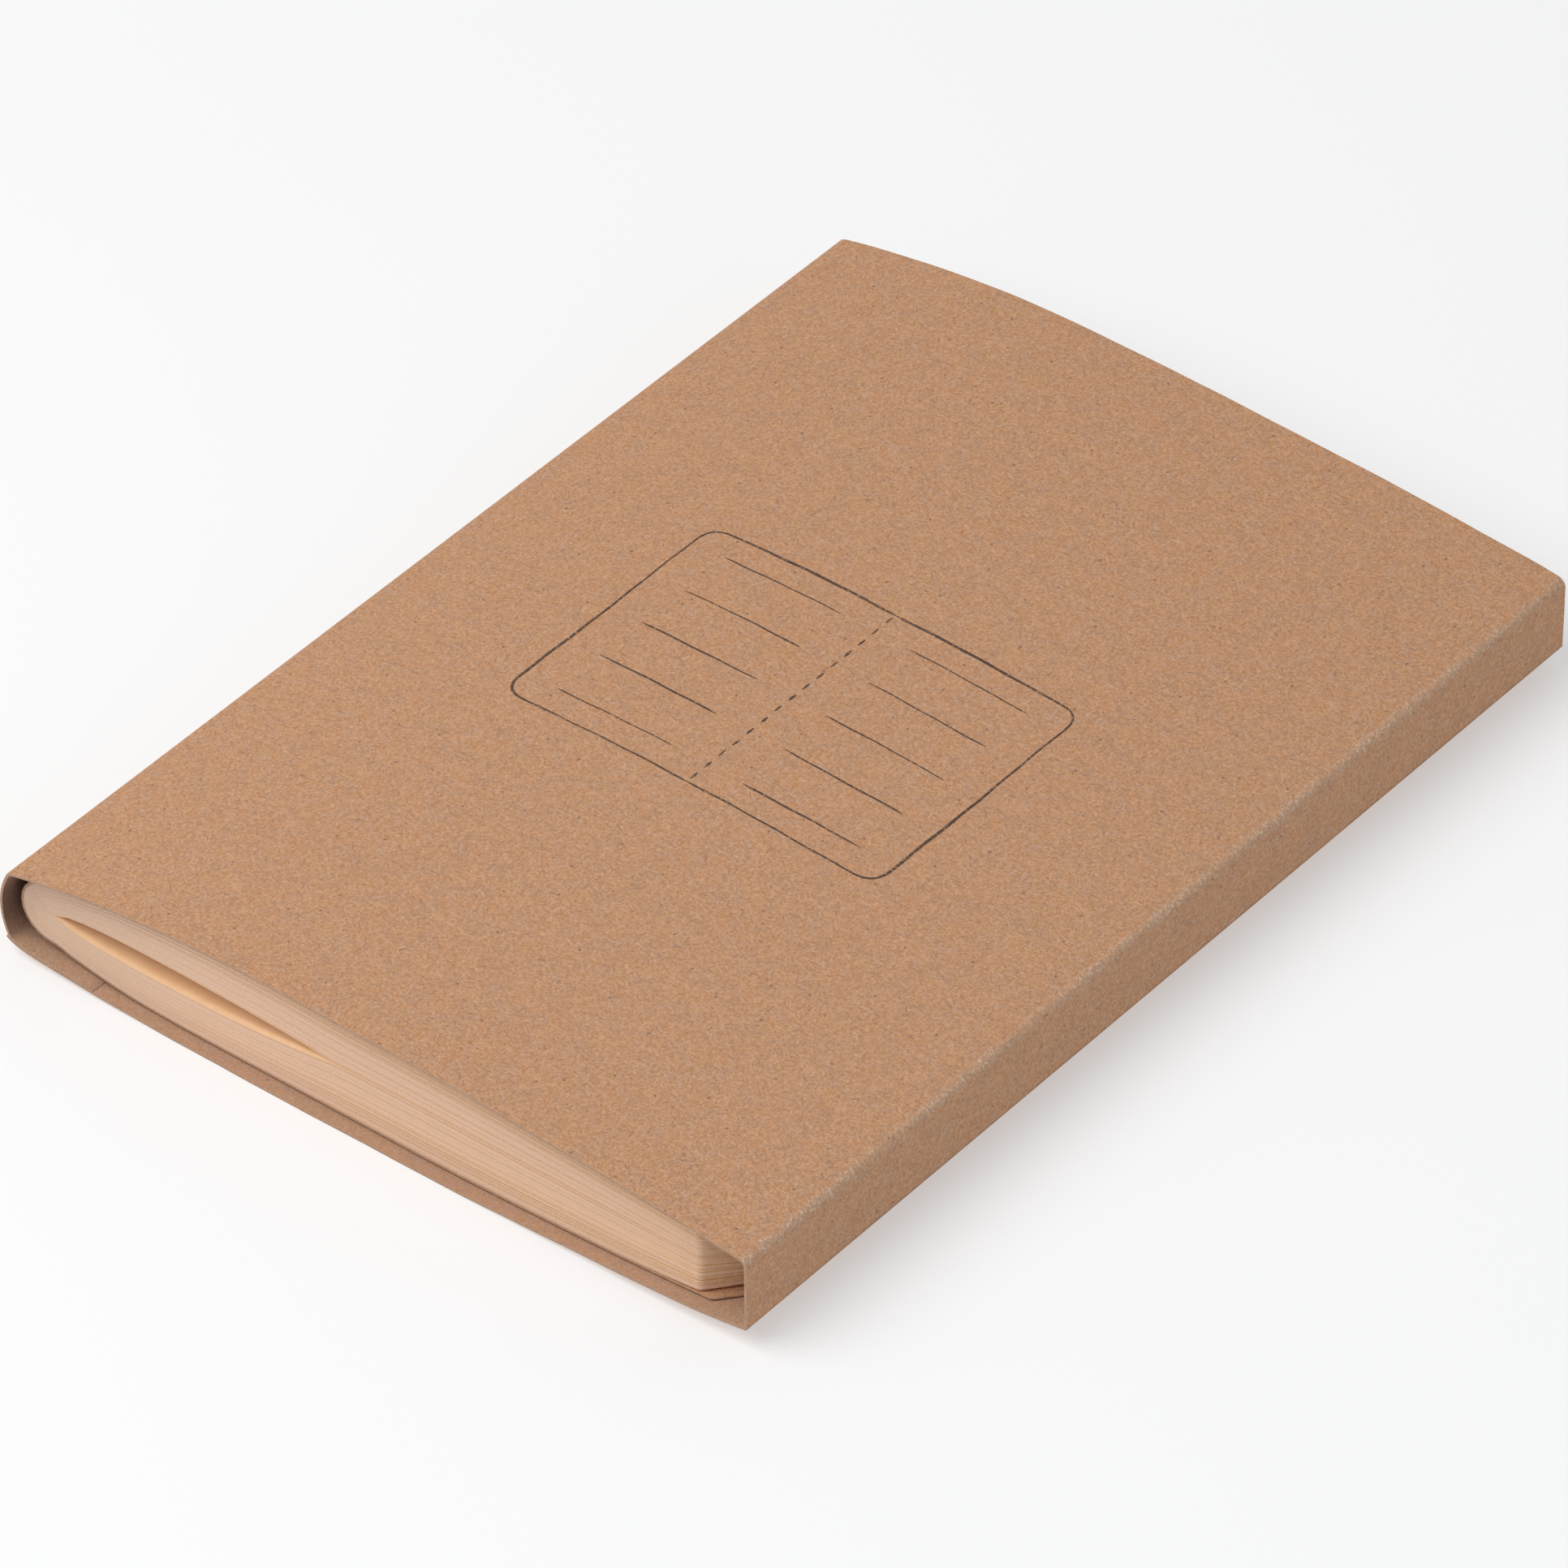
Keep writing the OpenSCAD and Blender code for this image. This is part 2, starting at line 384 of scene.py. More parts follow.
def fibre_group():
    """Node group that scatters short bent fibres of random direction over a flat sheet."""
    name = "Scattered fibres"
    if name in bpy.data.node_groups:
        return bpy.data.node_groups[name]
    tree = bpy.data.node_groups.new(name, "ShaderNodeTree")
    tree.interface.new_socket("Place", in_out="INPUT", socket_type="NodeSocketVector")
    for socket in ("Per metre", "Length", "Width", "Bend", "Share"):
        tree.interface.new_socket(socket, in_out="INPUT", socket_type="NodeSocketFloat")
    tree.interface.new_socket("Mask", in_out="OUTPUT", socket_type="NodeSocketFloat")
    given = tree.nodes.new("NodeGroupInput").outputs
    cells = node(tree, "ShaderNodeTexVoronoi", {
        "Vector": given["Place"], "Scale": given["Per metre"],
    }, voronoi_dimensions="2D", feature="F1")
    chance = node(tree, "ShaderNodeSeparateColor", {"Color": cells.outputs["Color"]}).outputs
    local = vector_math(tree, "SUBTRACT", given["Place"], cells.outputs["Position"])
    turned = node(tree, "ShaderNodeVectorRotate", {
        "Vector": local, "Angle": times(tree, chance[0], 2 * math.pi),
    }, rotation_type="Z_AXIS").outputs[0]
    along = node(tree, "ShaderNodeSeparateXYZ", {"Vector": turned}).outputs
    squared = times(tree, along["X"], along["X"])
    bend = times(tree, calculate(tree, "SUBTRACT", chance[1], 0.5), given["Bend"])
    across = calculate(tree, "SUBTRACT", along["Y"], times(tree, squared, bend))
    across = calculate(tree, "DIVIDE", calculate(tree, "ABSOLUTE", across), given["Width"])
    length = times(tree, given["Length"], ramp(tree, chance[2], 0, 1, 0.25, 0.5))
    reach = calculate(tree, "DIVIDE", calculate(tree, "ABSOLUTE", along["X"]), length)
    mask = times(
        tree,
        ramp(tree, across, 0.2, 0.65, 1, 0),
        ramp(tree, reach, 0.7, 1.0, 1, 0),
    )
    here = calculate(tree, "LESS_THAN", chance[2], given["Share"])
    result = tree.nodes.new("NodeGroupOutput")
    tree.links.new(times(tree, mask, here), result.inputs["Mask"])
    return tree


def fibres(tree, place, shift, per_metre, length, width, bend, share):
    """Mask of one layer of fibres, shifted so that layers differ."""
    moved = vector_math(tree, "ADD", place, (shift, 0.37 * shift, 0))
    made = node(tree, "ShaderNodeGroup", node_tree=fibre_group())
    tree.links.new(moved, made.inputs["Place"])
    for socket, value in (
        ("Per metre", per_metre), ("Length", length), ("Width", width),
        ("Bend", bend), ("Share", share),
    ):
        made.inputs[socket].default_value = value
    return made.outputs["Mask"]


def strongest(tree, masks):
    """Strongest of several masks."""
    result = masks[0]
    for mask in masks[1:]:
        result = calculate(tree, "MAXIMUM", result, mask)
    return result


def filaments(tree, place, depth, scale, thickness, turn):
    """Thin fibres that run mostly one way, broken into stretches. Depth picks another set."""
    turned = node(tree, "ShaderNodeVectorRotate", {
        "Vector": place, "Angle": math.radians(turn),
    }, rotation_type="Z_AXIS").outputs[0]
    stretched = vector_math(tree, "MULTIPLY", turned, (0.38, 1, 1))
    level = vector_math(tree, "ADD", stretched, (0, 0, depth))
    middle = calculate(tree, "SUBTRACT", noise(tree, level, scale, 2, 0.5), 0.5)
    line = ramp(tree, calculate(tree, "ABSOLUTE", middle), 0.3 * thickness, thickness, 1, 0)
    aside = vector_math(tree, "ADD", stretched, (0, 0, 2.7 * depth))
    shown = ramp(tree, noise(tree, aside, 1.1 * scale, 1, 0.5), 0.5, 0.58)
    return times(tree, line, shown)


def felt(tree, place, step, first, layers):
    """Mask of several layers of filaments, each with its scale and its turn in degrees."""
    return strongest(tree, [
        filaments(tree, place, step * (i + first), scale, FELT_WIDTH, turn)
        for i, (scale, turn) in enumerate(layers)
    ])


def kraft_surface(tree, place, look):
    """Mottled kraft card with long and short fibres. Returns its colour and its height."""
    drift = node(tree, "ShaderNodeTexNoise", {
        "Vector": place, "Scale": 600.0, "Detail": 1.0,
    }).outputs["Color"]
    wander = vector_math(tree, "SCALE", vector_math(tree, "SUBTRACT", drift, (0.5, 0.5, 0.5)))
    wander.node.inputs["Scale"].default_value = FIBRE_WANDER
    bent = vector_math(tree, "ADD", place, wander)
    dark = strongest(tree, [fibres(tree, bent, *layer) for layer in DARK_FIBRES])
    pale = strongest(tree, [fibres(tree, bent, *layer) for layer in PALE_FIBRES])
    dark_felt = felt(tree, bent, 0.013, 1, DARK_FELT)
    pale_felt = felt(tree, bent, 0.017, 5, PALE_FELT)
    grain = noise(tree, bent, 2600, 3, 0.7)
    blotch = noise(tree, place, 1100, 3, 0.6)
    cloud = noise(tree, place, 330, 4, 0.6)
    colour = tinted(tree, rgba(look.kraft), ramp(tree, blotch, 0.38, 0.62), look.kraft_grey)
    colour = tinted(tree, colour, ramp(tree, cloud, 0.36, 0.64, 0, 0.7), look.kraft_warm)
    colour = tinted(tree, colour, ramp(tree, grain, 0.33, 0.6, 0.6, 0), look.kraft_deep)
    colour = tinted(tree, colour, ramp(tree, grain, 0.52, 0.7, 0, 0.25), look.pale_fibre)
    for mask, strength, tint in (
        (dark_felt, 0.22, look.kraft_deep), (pale_felt, 0.2, look.pale_fibre),
        (pale, 0.5, look.pale_fibre), (dark, 0.6, look.dark_fibre),
    ):
        colour = tinted(tree, colour, times(tree, mask, strength), tint)
    specks = node(tree, "ShaderNodeTexVoronoi", {
        "Vector": bent, "Scale": 120.0,
    }, voronoi_dimensions="2D").outputs["Distance"]
    colour = tinted(tree, colour, ramp(tree, specks, 0.01, 0.03, 0.7, 0), look.speck_and_wall_shade)
    height = grain
    for mask, share in ((pale_felt, 0.5), (pale, 0.6), (dark_felt, -0.3)):
        height = calculate(tree, "ADD", height, times(tree, mask, share))
    return colour, height


def wear_and_shade_band(tree, place, fold, width, wander):
    """Band along a line across the sheet, at a distance from the sheet's start: worn fibres at the
    top fold, a darker band at the lower fold, and painted shade at the spine wall. Its sides wander.
    """
    across = along_x(tree, place)
    across = calculate(tree, "ABSOLUTE", calculate(tree, "SUBTRACT", across, fold))
    rough = calculate(tree, "SUBTRACT", noise(tree, place, 700, 4, 0.65), 0.5)
    across = calculate(tree, "ADD", across, times(tree, rough, wander))
    return ramp(tree, across, 0.15 * width, width, 1, 0)


def kraft_card(name, look, worn_fold, sharp_fold, wall=None):
    """Sleeve card: kraft, torn fibres along the top fold, a darker band along the lower fold.

    With a place for the spine wall, this is the inner face: greyed with painted shade, and darker
    still with painted shade in a band at the wall.
    """
    material, tree, shader = new_material(name, 0.82)
    place = flat_place(tree)
    colour, height = kraft_surface(tree, place, look)
    clumps = ramp(tree, noise(tree, place, 260, 3, 0.6), 0.36, 0.6, 0.35, 1)
    frayed = ramp(tree, noise(tree, place, 2300, 4, 0.75), 0.4, 0.56)
    worn = times(tree, wear_and_shade_band(tree, place, worn_fold, 0.95 * MM, 2.6 * MM), clumps)
    torn = times(tree, worn, frayed)
    colour = tinted(tree, colour, times(tree, worn, 0.4), look.fold_band)
    colour = tinted(tree, colour, times(tree, torn, 0.4), look.torn)
    # Darker band along the lower fold.
    fold_band = wear_and_shade_band(tree, place, sharp_fold, 0.5 * MM, 0.8 * MM)
    colour = tinted(tree, colour, times(tree, fold_band, 0.4), look.dark_fibre)
    if wall is not None:
        # Painted shade: the whole inner face is tinted greyer and darker.
        colour = tinted(tree, colour, 0.45, look.inside)
        # Painted shade: a dark band on the inner face at the spine wall.
        wall_shade = wear_and_shade_band(tree, place, wall, 6.5 * MM, 1.0 * MM)
        wall_shade = times(tree, wall_shade, 0.95)
        colour = tinted(tree, colour, wall_shade, look.speck_and_wall_shade)
    height = calculate(tree, "ADD", height, times(tree, torn, 3.0))
    set_surface(tree, shader, colour, height, 0.045 * MM, 0.7)
    return material


def torn_fibre_edge(name, base, pale):
    """Cut edge of card or paper: pale torn fibres across its thickness, on a base colour that is
    given darker than the card's face as painted shade.
    """
    material, tree, shader = new_material(name, 0.9)
    place = solid_place(tree)
    grain = noise(tree, place, 4200, 3, 0.65)
    broad = noise(tree, place, 600, 2, 0.5)
    colour = tinted(tree, rgba(base), ramp(tree, grain, 0.35, 0.65), pale)
    colour = tinted(tree, colour, ramp(tree, broad, 0.4, 0.7, 0, 0.35), pale)
    set_surface(tree, shader, colour, grain, 0.04 * MM, 0.7)
    return material


def cover_kraft(look):
    """Booklet cover: thinner kraft, smoother and a little redder than the sleeve."""
    material, tree, shader = new_material("cover_kraft", 0.75)
    place = flat_place(tree)
    colour, height = kraft_surface(tree, place, look)
    colour = tinted(tree, colour, 0.35, look.cover, "MULTIPLY")
    set_surface(tree, shader, colour, height, 0.02 * MM, 0.5)
    return material


def cream_paper(look):
    """Face of a leaf: soft cream paper with a faint cloudy formation."""
    material, tree, shader = new_material("cream_paper", 0.85)
    place = flat_place(tree)
    cloud = noise(tree, place, 500, 4, 0.6)
    colour = tinted(tree, rgba(look.paper), ramp(tree, cloud, 0.35, 0.7), look.paper_deep)
    set_surface(tree, shader, colour, noise(tree, place, 3500, 3, 0.6), 0.01 * MM, 0.5)
    return material


def trimmed_paper(look):
    """Trimmed edges of the leaves, a little different from sheet to sheet, with painted shade on the
    cut-off corners and near the spine.
    """
    material, tree, shader = new_material("trimmed_paper", 0.9)
    place = solid_place(tree)
    tone = node(tree, "ShaderNodeAttribute", attribute_name="leaf_tone").outputs["Fac"]
    across = along_x(tree, place)
    tone = times(tree, tone, ramp(tree, across, -45 * MM, 15 * MM, 0.45, 1))
    # Painted shade: the cut-off corner faces of the leaves are pushed toward the deep tone.
    corner = SPINE_X + FORE_EDGE - LEAF_CORNER
    tone = calculate(tree, "ADD", tone, ramp(tree, across, corner, corner + 0.6 * MM, 0, 0.3))
    grain = noise(tree, place, 2600, 3, 0.6)
    tone = calculate(tree, "MINIMUM", tone, 1.0)
    colour = tinted(tree, rgba(look.trimmed), tone, look.trimmed_deep)
    colour = tinted(tree, colour, ramp(tree, grain, 0.35, 0.7, 0, 0.3), look.trimmed_pale)
    # Painted shade: the leaf edges are greyed and darkened near the spine.
    spine_shade = ramp(tree, across, -50 * MM, -20 * MM, 0.4, 0)
    colour = tinted(tree, colour, spine_shade, look.trimmed_spine_shade)
    set_surface(tree, shader, colour, grain, 0.02 * MM, 0.5)
    return material


def pictogram_ink(look):
    """Matt brown ink, worn off where the card's fibres stand up."""
    material, tree, shader = new_material("pictogram_ink", 0.8)
    place = solid_place(tree)
    worn = ramp(tree, noise(tree, place, 2600, 3, 0.65), 0.54, 0.68)
    faded = ramp(tree, noise(tree, place, 90, 2, 0.5), 0.35, 0.7, 0.0, 0.45)
    colour = tinted(tree, rgba(look.ink), faded, look.ink_faded)
    colour = tinted(tree, colour, times(tree, worn, 0.8), look.kraft)
    set_surface(tree, shader, colour, worn, 0.01 * MM, 0.4)
    return material


def linen_thread(look):
    """Waxed two-ply linen thread."""
    material, tree, shader = new_material("linen_thread", 0.6, 0.35)
    place = solid_place(tree)
    strands = noise(tree, place, 4500, 3, 0.7)
    colour = tinted(tree, rgba(look.thread), ramp(tree, strands, 0.35, 0.7), look.thread_deep)
    set_surface(tree, shader, colour, strands, 0.03 * MM, 0.6)
    return material


# ---- the sleeve ----

CARD_WAVE = 0.045 * MM
CUT_WAVE = 0.05 * MM
SIDE_STEPS = 24
FLAT_STEPS = 8
PANEL_STEPS = 52
WALL_STEPS = 20
FLAP_STEPS = 16
CARD_EDGE_ROUND = 0.05 * MM


def card_wave(x, y):
    """Slight wave of the card, which keeps it from looking like sheet metal."""
    return CARD_WAVE * (
        math.sin(x / (19 * MM) + 1.3) * math.sin(y / (23 * MM) + 0.4)
        + 0.6 * math.sin(x / (9 * MM) + y / (31 * MM))
    )


def cut_wave(s, seed):
    """Small wander of a cut edge along its length."""
    return CUT_WAVE * (
        math.sin(s / (11 * MM) + seed) + 0.6 * math.sin(s / (4.3 * MM) + 2.1 * seed)
        + 0.35 * math.sin(s / (1.7 * MM) + 3.7 * seed)
    )


def sleeve_path():
    """Outer face of the card, from the bottom panel's free edge round to the glue flap's end.

    Returns its points and the numbers of the points in the middle of the sharp fold and of
    the worn fold.
    """
    near = [lerp(FREE_EDGE, FLAT_START, (i / SIDE_STEPS) ** 2) for i in range(SIDE_STEPS)]
    flat = [lerp(FLAT_START, FLAT_END, i / FLAT_STEPS) for i in range(FLAT_STEPS)]
    last = SLEEVE_WIDTH - 1.2 * SHARP_FOLD_RADIUS
    far = [lerp(FLAT_END, last, 1 - (1 - i / SIDE_STEPS) ** 1.6) for i in range(SIDE_STEPS + 1)]
    points = [(x, bottom_z(x)) for x in near + flat + far]
    low_centre = (SLEEVE_WIDTH - SHARP_FOLD_RADIUS, points[-1][1] + SHARP_FOLD_RADIUS * 1.02)
    points += arc(low_centre, SHARP_FOLD_RADIUS, -60, 0, 5)
    sharp_fold = len(points) - 3
    high_centre = (SLEEVE_WIDTH - WORN_FOLD_RADIUS, top_z(SLEEVE_WIDTH) - WORN_FOLD_RADIUS)
    points += [(SLEEVE_WIDTH, lerp(points[-1][1], high_centre[1], i / 6)) for i in range(1, 6)]
    points += arc(high_centre, WORN_FOLD_RADIUS, 0, 80, 9)
    worn_fold = len(points) - 5
    start = SLEEVE_WIDTH - WORN_FOLD_RADIUS
    top = [lerp(start, TURN_X, i / PANEL_STEPS) for i in range(1, PANEL_STEPS + 1)]
    points += [(x, top_z(x)) for x in top]
    wall_top = top_z(TURN_X) - 0.3 * MM
    heights = [lerp(wall_top, SEAM_Z, i / WALL_STEPS) for i in range(WALL_STEPS + 1)]
    points += [(wall_x(z), z) for z in heights]
    flap_start = wall_x(SEAM_Z) + 0.5 * MM
    flap = [lerp(flap_start, FLAP_END, (i / FLAP_STEPS) ** 1.4) for i in range(FLAP_STEPS + 1)]
    lift = SLEEVE_CARD + GLUE_FILM
    points += [(wall_x(SEAM_Z) + 0.12 * MM, SEAM_Z - 0.25 * MM)]
    points += [(x, bottom_z(x) + lift) for x in flap]
    return points, sharp_fold, worn_fold


def folded_sleeve(sizes, materials):
    """One card grid bent along the sleeve's profile."""
    points, _, _ = sleeve_path()
    flat = lengths_along(points)
    columns, rows = len(points) - 1, sizes.sleeve_rows
    bm = bmesh.new()
    bmesh.ops.create_grid(bm, x_segments=columns, y_segments=rows, size=1.0)
    sheet = bm.loops.layers.uv.new("flat_sheet")
    for v in bm.verts:
        column = round((v.co.x + 1) / 2 * columns)
        share = (1 + math.sin(math.pi / 2 * v.co.y)) / 2
        v.co = Vector((flat[column], share * SLEEVE_LENGTH, column))
    for face in bm.faces:
        for loop in face.loops:
            loop[sheet].uv = loop.vert.co.xy
    thickness_share = bm.verts.layers.deform.verify()
    for v in bm.verts:
        s, y, column = v.co
        x, z = points[round(column)]
        v[thickness_share][0] = FLAP_END_SHARE if round(column) == columns else 1.0
        middle = 1 - abs(2 * y / SLEEVE_LENGTH - 1) ** 6
        seed = 0.7 if y < SLEEVE_LENGTH / 2 else 2.9
        y += cut_wave(s, seed) * (1 - middle)
        if z > HIGH_FOLD_Z:
            z += card_wave(x, y) * smooth((z - HIGH_FOLD_Z) / (2 * MM))
        v.co = Vector((SPINE_X + x, TAIL_Y + y, z))
    bmesh.ops.reverse_faces(bm, faces=bm.faces)
    piece = finish_mesh("folded_sleeve", bm, materials)
    give_thickness(piece, sizes.card, -1, 2)
    soften_edges(piece, CARD_EDGE_ROUND)
    return piece


# ---- the booklet ----

BEND_LENGTH = 6 * MM
THICKEST = 0.4 * MM
EDGE_STRIP = 0.9 * MM
CUT_TOLERANCE = 1e-7
LOOSER_START = 88 * MM
LOOSER_SPAN = 10 * MM
LOOSER_SHARE = 0.14
LEAF_CORNER = 5.3 * MM
COVER_CORNER = 3.6 * MM
CORNER_ROUND = 0.5 * MM
LEAF_STEPS = 26
BEND_STEPS = 12


def hole_y(i):
    """Place of a needle hole along the fold."""
    return SLEEVE_LENGTH / 2 + (i - (HOLE_COUNT - 1) / 2) * HOLE_PITCH


def cut_across(bm, places, axis):
    """Cuts a flat sheet across at each place along an axis."""
    normal = Vector((1, 0, 0)) if axis == 0 else Vector((0, 1, 0))
    for place in places:
        everything = bm.verts[:] + bm.edges[:] + bm.faces[:]
        bmesh.ops.bisect_plane(
            bm, geom=everything, dist=CUT_TOLERANCE, plane_co=normal * place, plane_no=normal,
        )


def flat_folio(corner):
    """Flat folded sheet with its corners cut off, cut along the leaf places and sewing rows.

    X runs from the upper leaf's fore-edge, below zero, over the fold to the lower one's.
    """
    reach = FORE_EDGE - FOLD_X
    half = reach + BEND_LENGTH / 2
    bm = bmesh.new()
    bmesh.ops.create_grid(bm, x_segments=1, y_segments=1, size=1.0)
    bmesh.ops.scale(bm, vec=(half, BOOKLET_LENGTH / 2, 1), verts=bm.verts)
    bmesh.ops.translate(bm, vec=(0, BOOKLET_TAIL + BOOKLET_LENGTH / 2, 0), verts=bm.verts)
    for cut, segments in ((corner, 1), (CORNER_ROUND, 4)):
        bmesh.ops.bevel(
            bm, geom=bm.verts[:], offset=cut, segments=segments, profile=0.5,
            affect="VERTICES", material=-1,
        )
    leaf_places = [BEND_LENGTH / 2 + reach * (i / LEAF_STEPS) ** 1.4 for i in range(LEAF_STEPS)]
    bend_places = [BEND_LENGTH * (i / BEND_STEPS - 0.5) for i in range(1, BEND_STEPS)]
    cut_across(bm, leaf_places + [-place for place in leaf_places] + bend_places, 0)
    rows = [hole_y(i) + side * HOLE_WIDTH / 2 for i in range(HOLE_COUNT) for side in (-1, 1)]
    rows += [BOOKLET_TAIL + EDGE_STRIP, BOOKLET_TAIL + BOOKLET_LENGTH - EDGE_STRIP]
    cut_across(bm, rows, 1)
    return bm


def air_between_leaves(seed):
    """Uneven shares of air above each leaf: most lie close, and a few stand off."""
    draw = random.Random(seed)
    shares = []
    for k in range(SHEET_COUNT + 1):
        wide = draw.random() < 0.18
        shares.append((
            draw.uniform(3.0, 7.0) if wide else draw.uniform(0.05, 0.6),
            draw.uniform(14, 40) * MM,
            draw.uniform(0, 2 * math.pi),
        ))
    return shares


AIR = {+1: air_between_leaves(11), -1: air_between_leaves(23)}


def paper_share(x, bulk):
    """Share of the leaves' spacing that paper fills. The leaves stand looser at the fore-edge."""
    return bulk - LOOSER_SHARE * smooth((x - LOOSER_START) / LOOSER_SPAN)


@functools.lru_cache(maxsize=None)
def leaf_depths(side, x, y, bulk):
    """Distance of each leaf's middle from the centre gap, and its thickness, at one place."""
    if side > 0:
        height = block_ceiling(x) - middle_z(x) - gap_half(x)
    else:
        lift = LEAF_LIFT * smooth((x - LIFT_START) / (FORE_EDGE - LIFT_START))
        height = middle_z(x) - gap_half(x) - block_floor(x) - lift
    even = height / SHEET_COUNT
    thickness = paper_share(x, bulk) * even
    least = 1.01 * thickness
    spare = max(0.0, height - SHEET_COUNT * least)
    weights = [
        size * (1 + 0.6 * math.sin(x / wave + 0.4 * y / wave + phase))
        for size, wave, phase in AIR[side]
    ]
    total = sum(weights)
    loose = smooth((x - FOLD_X) / (9 * MM))
    depths = []
    depth = 0.0
    for k in range(SHEET_COUNT):
        depth += spare * weights[k] / total
        depths.append(lerp((k + 0.5) * even, depth + least / 2, loose))
        depth += least
    return depths, thickness


def bend_point(u, radius):
    """Where a flat place u near the fold lies on its bend of this radius."""
    angle = math.pi * (1 + u / BEND_LENGTH)
    return FOLD_X + radius * math.cos(angle), FOLD_Z + radius * math.sin(angle)


def leaf_point(number, u, y, bulk):
    """Where a flat place u of folded sheet number 1, 2, 3... lies, and its thickness there."""
    share = (number - 0.5) / SHEET_COUNT
    radius = TIP_RADIUS + (BLOCK_RADIUS - TIP_RADIUS) * share
    if abs(u) <= BEND_LENGTH / 2:
        spacing = (BLOCK_RADIUS - TIP_RADIUS) / SHEET_COUNT
        return *bend_point(u, radius), bulk * spacing
    x = FOLD_X + abs(u) - BEND_LENGTH / 2
    side = 1 if u < 0 else -1
    depths, thickness = leaf_depths(side, round(x, 7), round(y, 5), bulk)
    start = FOLD_Z + side * radius
    z = middle_z(x) + side * (gap_half(x) + depths[number - 1])
    return x, lerp(start, z, smooth((x - FOLD_X) / FOLD_BLEND)), thickness


def cover_point(u, cover):
    """Where a flat place u of the cover's middle face lies, and its thickness."""
    stand_off = COVER_AIR + cover / 2
    if abs(u) <= BEND_LENGTH / 2:
        return *bend_point(u, BLOCK_RADIUS + stand_off), cover
    x = FOLD_X + abs(u) - BEND_LENGTH / 2
    side = 1 if u < 0 else -1
    edge = block_ceiling(x) if side > 0 else block_floor(x)
    start = FOLD_Z + side * BLOCK_RADIUS
    z = lerp(start, edge, smooth((x - FOLD_X) / FOLD_BLEND))
    return x, z + side * stand_off, cover


def fold_folio(bm, point_of):
    """Bends a flat folio, keeps its flat place as its map, and pierces it for the thread."""
    sheet = bm.loops.layers.uv.new("flat_sheet")
    thickness_share = bm.verts.layers.deform.verify()
    for face in bm.faces:
        for loop in face.loops:
            loop[sheet].uv = loop.vert.co.xy
    for v in bm.verts:
        x, z, thickness = point_of(v.co.x, v.co.y)
        v.co = Vector((SPINE_X + x, TAIL_Y + v.co.y, z))
        v[thickness_share][0] = thickness / THICKEST
    bmesh.ops.reverse_faces(bm, faces=bm.faces)
    pierce(bm)


def in_needle_hole(point):
    """True inside the square channel of a needle hole."""
    place = (point.y - TAIL_Y - hole_y(0)) / HOLE_PITCH
    nearest = min(max(round(place), 0), HOLE_COUNT - 1)
    return (
        point.x < SPINE_X + FOLD_X + STITCH_DEPTH
        and abs(point.z - FOLD_Z) < HOLE_WIDTH / 2
        and abs(place - nearest) * HOLE_PITCH < HOLE_WIDTH / 2
    )


def pierce(bm):
    """Cuts the needle holes through the fold."""
    for side in (-1, 1):
        near_fold = [f for f in bm.faces if f.calc_center_median().x < SPINE_X + FOLD_X + 2 * MM]
        geometry = set(near_fold)
        for face in near_fold:
            geometry.update(face.edges)
            geometry.update(face.verts)
        bmesh.ops.bisect_plane(
            bm, geom=list(geometry), dist=CUT_TOLERANCE,
            plane_co=(0, 0, FOLD_Z + side * HOLE_WIDTH / 2), plane_no=(0, 0, 1),
        )
    holes = [f for f in bm.faces if in_needle_hole(f.calc_center_median())]
    bmesh.ops.delete(bm, geom=holes, context="FACES")


def folded_sheet(flat, number, sizes, materials):
    """One folded sheet, two leaves."""
    bm = flat.copy()
    shift = random.Random(100 + number).uniform(-0.03, 0.03) * MM
    bmesh.ops.translate(bm, vec=(0, shift, 0), verts=bm.verts)
    fold_folio(bm, lambda u, y: leaf_point(number, u, y, sizes.bulk))
    piece = finish_mesh(f"paper_sheet_{number:02d}", bm, materials)
    tone = 0.6 * random.Random(300 + number).random() ** 1.4
    tone += 0.35 * random.Random(500 + number // 4).random()
    tones = piece.data.attributes.new("leaf_tone", "FLOAT", "POINT")
    tones.data.foreach_set("value", [tone] * len(piece.data.vertices))
    give_thickness(piece, THICKEST, 0)
    return piece


# ---- the thread ----


def rounded_route(points, radius, steps=5):
    """Route through points with its corners rounded."""
    route = [points[0]]
    for before, corner, after in zip(points, points[1:], points[2:]):
        into = corner + (before - corner).normalized() * min(radius, (before - corner).length / 2)
        out = corner + (after - corner).normalized() * min(radius, (after - corner).length / 2)
        for i in range(steps + 1):
            t = i / steps
            route.append((1 - t) ** 2 * into + 2 * t * (1 - t) * corner + t * t * out)
    route.append(points[-1])
    return route


def even_steps(route, step):
    """Points along a route, one step apart."""
    flat = lengths_along(route)
    count = round(flat[-1] / step)
    points = []
    segment = 0
    for i in range(count + 1):
        s = flat[-1] * i / count
        while segment < len(route) - 2 and flat[segment + 1] < s:
            segment += 1
        span = flat[segment + 1] - flat[segment]
        points.append(route[segment].lerp(route[segment + 1], (s - flat[segment]) / span))
    return points


def stitch_route(thread):
    """Running stitch: out at the first hole, in at the next, and so on to the last."""
    outside = SPINE_X + COVER_START - 0.5 * thread
    inside = SPINE_X + FOLD_X + STITCH_DEPTH
    points = [Vector((inside, TAIL_Y + hole_y(0) - LOOSE_END, FOLD_Z))]
    for i in range(HOLE_COUNT):
        y = TAIL_Y + hole_y(i)
        ends = (inside, outside) if i % 2 == 0 else (outside, inside)
        points += [Vector((x, y, FOLD_Z)) for x in ends]
    points.append(Vector((inside, TAIL_Y + hole_y(HOLE_COUNT - 1) + LOOSE_END, FOLD_Z)))
    return even_steps(rounded_route(points, STITCH_BEND), STITCH_STEP)


